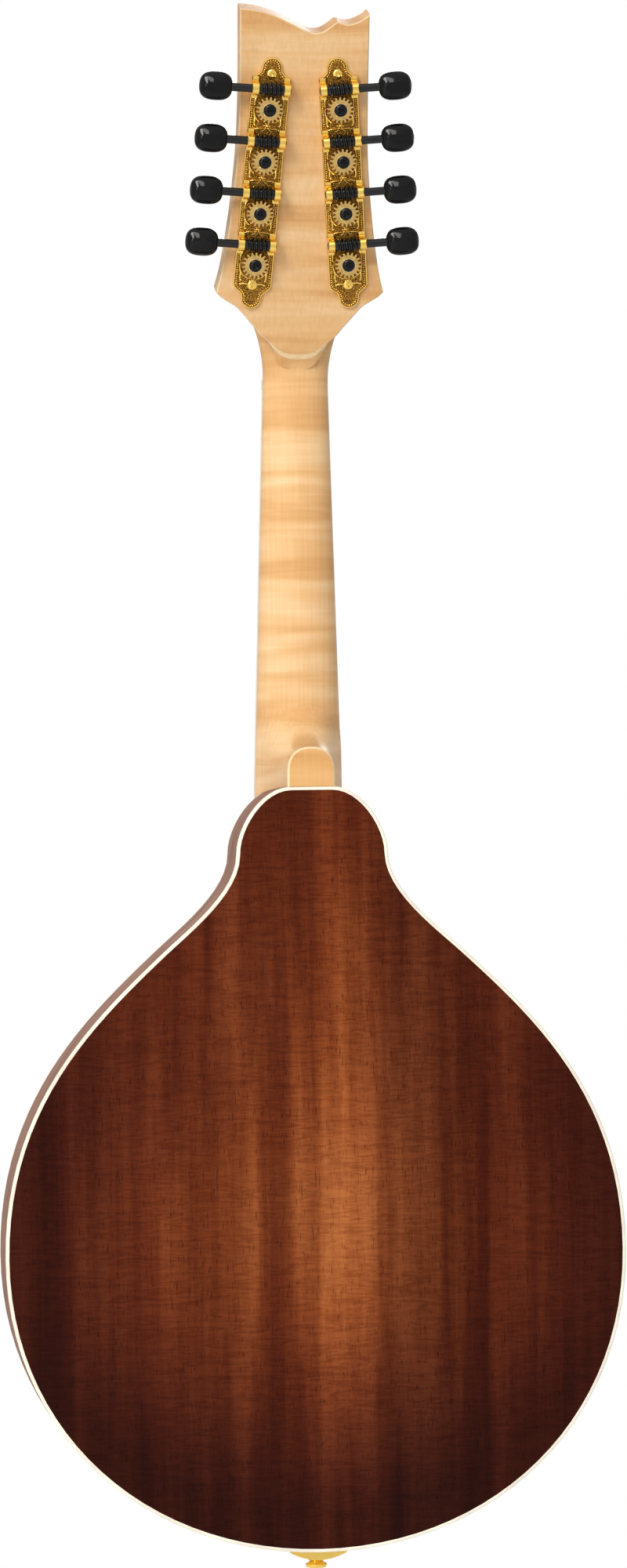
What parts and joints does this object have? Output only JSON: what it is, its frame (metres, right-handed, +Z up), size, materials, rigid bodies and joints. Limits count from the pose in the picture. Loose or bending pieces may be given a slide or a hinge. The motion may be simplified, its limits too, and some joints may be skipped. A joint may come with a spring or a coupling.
{
  "type": "mandolin",
  "caption": "Hollow pear-shaped plucked instrument with arched plates, a fretted neck, worm-geared tuners, a movable bridge and a sliding tailpiece cover.",
  "frame": {"origin": "where a hanger's yoke holds the instrument: on its middle plane, in the neck just under the headstock's ears", "axes": "+Z runs up the neck towards the headstock, +X is to the right when the back is seen, +Y points out of the soundboard and -Y out of the back"},
  "size_m": [0.272, 0.0938, 0.6845],
  "materials": {
    "maple": "satin, flamed figure across the grain",
    "mahogany": "gloss, ribbon grain with a burst towards the edge",
    "mahogany_side": "gloss",
    "spruce": "gloss",
    "cream": "gloss",
    "rosewood": "oiled",
    "black_lacquer": "black gloss lacquer",
    "block_wood": "bare",
    "bone": "polished bone",
    "gold": "gold plated",
    "brass": "cut brass",
    "black_steel": "blackened steel",
    "black_plastic": "high gloss",
    "string_steel": "bright wire",
    "string_bronze": "wound wire"
  },
  "bodies": {
    "instrument": {"rim": "mahogany_side", "neck_block": "block_wood", "tail_block": "block_wood", "back_binding": "cream", "top_binding": "cream", "back_plate": "mahogany", "soundboard": "spruce", "neck": "maple", "headstock_veneer": "black_lacquer", "fingerboard": "rosewood", "nut": "bone", "tuner_plate_left": "gold", "tuner_plate_right": "gold", "bridge_base": "rosewood", "tailpiece": "gold", "end_pin": "gold", "string_1": "string_bronze", "string_2": "string_bronze", "string_3": "string_bronze", "string_4": "string_bronze", "string_5": "string_steel", "string_6": "string_steel", "string_7": "string_steel", "string_8": "string_steel"},
    "tuner_key_left_1": {"tuner_shaft_left_1": "black_steel", "tuner_button_left_1": "black_plastic"},
    "tuner_post_left_1": {"tuner_gear_left_1": "brass", "string_post_left_1": "gold"},
    "tuner_key_left_2": {"tuner_shaft_left_2": "black_steel", "tuner_button_left_2": "black_plastic"},
    "tuner_post_left_2": {"tuner_gear_left_2": "brass", "string_post_left_2": "gold"},
    "tuner_key_left_3": {"tuner_shaft_left_3": "black_steel", "tuner_button_left_3": "black_plastic"},
    "tuner_post_left_3": {"tuner_gear_left_3": "brass", "string_post_left_3": "gold"},
    "tuner_key_left_4": {"tuner_shaft_left_4": "black_steel", "tuner_button_left_4": "black_plastic"},
    "tuner_post_left_4": {"tuner_gear_left_4": "brass", "string_post_left_4": "gold"},
    "tuner_key_right_1": {"tuner_shaft_right_1": "black_steel", "tuner_button_right_1": "black_plastic"},
    "tuner_post_right_1": {"tuner_gear_right_1": "brass", "string_post_right_1": "gold"},
    "tuner_key_right_2": {"tuner_shaft_right_2": "black_steel", "tuner_button_right_2": "black_plastic"},
    "tuner_post_right_2": {"tuner_gear_right_2": "brass", "string_post_right_2": "gold"},
    "tuner_key_right_3": {"tuner_shaft_right_3": "black_steel", "tuner_button_right_3": "black_plastic"},
    "tuner_post_right_3": {"tuner_gear_right_3": "brass", "string_post_right_3": "gold"},
    "tuner_key_right_4": {"tuner_shaft_right_4": "black_steel", "tuner_button_right_4": "black_plastic"},
    "tuner_post_right_4": {"tuner_gear_right_4": "brass", "string_post_right_4": "gold"},
    "saddle": {"bridge_saddle": "rosewood"},
    "wheel_bass": {"bridge_wheel_bass": "brass"},
    "wheel_treble": {"bridge_wheel_treble": "brass"},
    "cover": {"tailpiece_cover": "gold"}
  },
  "joints": [
    {"name": "turn_key_left_1", "type": "hinge", "parent": "instrument", "child": "tuner_key_left_1", "pos_m": [-0.01484, -0.04637, 0.10235], "axis": [-0.9974, -0.0231, 0.069], "continuous": true},
    {"name": "turn_post_left_1", "type": "hinge", "parent": "instrument", "child": "tuner_post_left_1", "pos_m": [-0.01548, -0.03843, 0.09565], "axis": [0, -0.9483, -0.3173], "continuous": true},
    {"name": "turn_key_left_2", "type": "hinge", "parent": "instrument", "child": "tuner_key_left_2", "pos_m": [-0.01651, -0.03907, 0.08054], "axis": [-0.9974, -0.0231, 0.069], "continuous": true},
    {"name": "turn_post_left_2", "type": "hinge", "parent": "instrument", "child": "tuner_post_left_2", "pos_m": [-0.01716, -0.03114, 0.07383], "axis": [0, -0.9483, -0.3173], "continuous": true},
    {"name": "turn_key_left_3", "type": "hinge", "parent": "instrument", "child": "tuner_key_left_3", "pos_m": [-0.01819, -0.03178, 0.05873], "axis": [-0.9974, -0.0231, 0.069], "continuous": true},
    {"name": "turn_post_left_3", "type": "hinge", "parent": "instrument", "child": "tuner_post_left_3", "pos_m": [-0.01884, -0.02384, 0.05202], "axis": [0, -0.9483, -0.3173], "continuous": true},
    {"name": "turn_key_left_4", "type": "hinge", "parent": "instrument", "child": "tuner_key_left_4", "pos_m": [-0.01987, -0.02448, 0.03692], "axis": [-0.9974, -0.0231, 0.069], "continuous": true},
    {"name": "turn_post_left_4", "type": "hinge", "parent": "instrument", "child": "tuner_post_left_4", "pos_m": [-0.02052, -0.01654, 0.03021], "axis": [0, -0.9483, -0.3173], "continuous": true},
    {"name": "turn_key_right_1", "type": "hinge", "parent": "instrument", "child": "tuner_key_right_1", "pos_m": [0.01484, -0.04637, 0.10235], "axis": [0.9974, -0.0231, 0.069], "continuous": true},
    {"name": "turn_post_right_1", "type": "hinge", "parent": "instrument", "child": "tuner_post_right_1", "pos_m": [0.01548, -0.03843, 0.09565], "axis": [0, -0.9483, -0.3173], "continuous": true},
    {"name": "turn_key_right_2", "type": "hinge", "parent": "instrument", "child": "tuner_key_right_2", "pos_m": [0.01651, -0.03907, 0.08054], "axis": [0.9974, -0.0231, 0.069], "continuous": true},
    {"name": "turn_post_right_2", "type": "hinge", "parent": "instrument", "child": "tuner_post_right_2", "pos_m": [0.01716, -0.03114, 0.07383], "axis": [0, -0.9483, -0.3173], "continuous": true},
    {"name": "turn_key_right_3", "type": "hinge", "parent": "instrument", "child": "tuner_key_right_3", "pos_m": [0.01819, -0.03178, 0.05873], "axis": [0.9974, -0.0231, 0.069], "continuous": true},
    {"name": "turn_post_right_3", "type": "hinge", "parent": "instrument", "child": "tuner_post_right_3", "pos_m": [0.01884, -0.02384, 0.05202], "axis": [0, -0.9483, -0.3173], "continuous": true},
    {"name": "turn_key_right_4", "type": "hinge", "parent": "instrument", "child": "tuner_key_right_4", "pos_m": [0.01987, -0.02448, 0.03692], "axis": [0.9974, -0.0231, 0.069], "continuous": true},
    {"name": "turn_post_right_4", "type": "hinge", "parent": "instrument", "child": "tuner_post_right_4", "pos_m": [0.02052, -0.01654, 0.03021], "axis": [0, -0.9483, -0.3173], "continuous": true},
    {"name": "lower_saddle", "type": "slide", "parent": "instrument", "child": "saddle", "axis": [0, 1, 0], "range_m": [-0.002, 0]},
    {"name": "turn_wheel_treble", "type": "hinge", "parent": "saddle", "child": "wheel_treble", "pos_m": [-0.03, 0.0333, -0.37536], "axis": [0, 1, 0], "range_deg": [-1440, 0]},
    {"name": "turn_wheel_bass", "type": "hinge", "parent": "saddle", "child": "wheel_bass", "pos_m": [0.03, 0.0333, -0.37536], "axis": [0, 1, 0], "range_deg": [-1440, 0]},
    {"name": "slide_cover", "type": "slide", "parent": "instrument", "child": "cover", "axis": [0, -0.0698, -0.9976], "range_m": [0, 0.03]}
  ],
  "couplings": [
    {"joint": "turn_post_left_1", "follows": "turn_key_left_1", "ratio": -0.055556},
    {"joint": "turn_post_left_2", "follows": "turn_key_left_2", "ratio": -0.055556},
    {"joint": "turn_post_left_3", "follows": "turn_key_left_3", "ratio": -0.055556},
    {"joint": "turn_post_left_4", "follows": "turn_key_left_4", "ratio": -0.055556},
    {"joint": "turn_post_right_1", "follows": "turn_key_right_1", "ratio": 0.055556},
    {"joint": "turn_post_right_2", "follows": "turn_key_right_2", "ratio": 0.055556},
    {"joint": "turn_post_right_3", "follows": "turn_key_right_3", "ratio": 0.055556},
    {"joint": "turn_post_right_4", "follows": "turn_key_right_4", "ratio": 0.055556},
    {"joint": "turn_wheel_treble", "follows": "lower_saddle", "rad_per_m": 12566},
    {"joint": "turn_wheel_bass", "follows": "lower_saddle", "rad_per_m": 12566}
  ]
}
